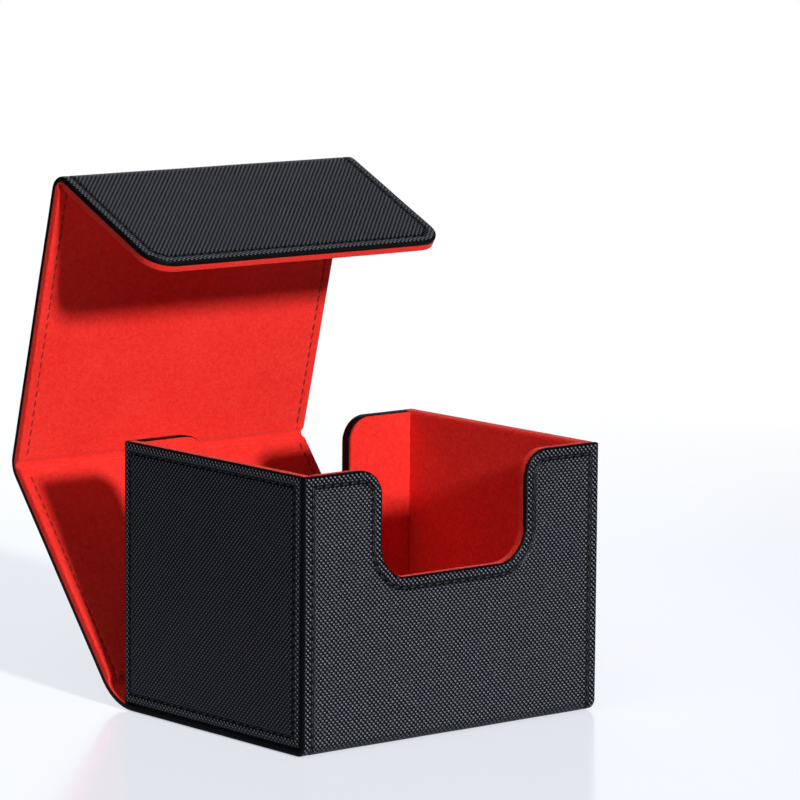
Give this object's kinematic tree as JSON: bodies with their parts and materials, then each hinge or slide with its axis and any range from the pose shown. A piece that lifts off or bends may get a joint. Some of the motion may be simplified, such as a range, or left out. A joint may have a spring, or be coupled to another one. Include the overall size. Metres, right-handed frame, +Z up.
{
  "type": "card deck box",
  "caption": "Card deck box with an open board tray, thumb cut-outs front and back, and a three-panel fold-over lid that hidden magnets hold shut.",
  "frame": {"origin": "middle of the tray's base, on the surface that it stands on", "axes": "+Z up; the front wall looks along -Y, the lid is hinged at the back, towards +Y, and every fold line runs along X"},
  "size_m": [0.106, 0.1366, 0.1491],
  "materials": {
    "leatherette": "black imitation leather pressed with a fine diamond weave, low sheen",
    "suede": "bright red microsuede with a short nap",
    "board": "grey binder's board, hidden inside the walls and panels",
    "magnet": "nickel-plated disc magnet, hidden inside the boards"
  },
  "bodies": {
    "tray": {"wrap_skin": "leatherette", "base_board": "board", "front_board": "board", "front_lining": "suede", "front_magnets": "magnet", "left_wall_skin": "leatherette", "left_wall_board": "board", "left_wall_lining": "suede", "right_wall_skin": "leatherette", "right_wall_board": "board", "right_wall_lining": "suede", "back_wall_skin": "leatherette", "back_wall_board": "board", "back_wall_lining": "suede", "floor_board": "board", "floor_lining": "suede", "base_fold_skin": "leatherette", "base_fold_lining": "suede"},
    "back_panel": {"back_panel_skin": "leatherette", "back_panel_board": "board", "back_panel_lining": "suede", "top_fold_skin": "leatherette", "top_fold_lining": "suede"},
    "top_panel": {"top_panel_skin": "leatherette", "top_panel_board": "board", "top_panel_lining": "suede", "flap_fold_skin": "leatherette", "flap_fold_lining": "suede"},
    "flap": {"flap_skin": "leatherette", "flap_board": "board", "flap_lining": "suede", "flap_magnets": "magnet"}
  },
  "joints": [
    {"name": "base_fold", "type": "hinge", "parent": "tray", "child": "back_panel", "pos_m": [0, 0.0454, 0.0012], "axis": [-1, 0, 0], "range_deg": [-38.8, 51.2], "deforming": ["base_fold_skin", "base_fold_lining"]},
    {"name": "top_fold", "type": "hinge", "parent": "back_panel", "child": "top_panel", "pos_m": [0, 0.09496, 0.06285], "axis": [-1, 0, 0], "range_deg": [-37, 53], "deforming": ["top_fold_skin", "top_fold_lining"]},
    {"name": "flap_fold", "type": "hinge", "parent": "top_panel", "child": "flap", "pos_m": [0, 0.07306, 0.14942], "axis": [-1, 0, 0], "range_deg": [-16.1, 11.3], "deforming": ["flap_fold_skin", "flap_fold_lining"]}
  ],
  "couplings": [
    {"joint": "flap_fold", "follows": "top_fold", "ratio": -0.3027}
  ]
}
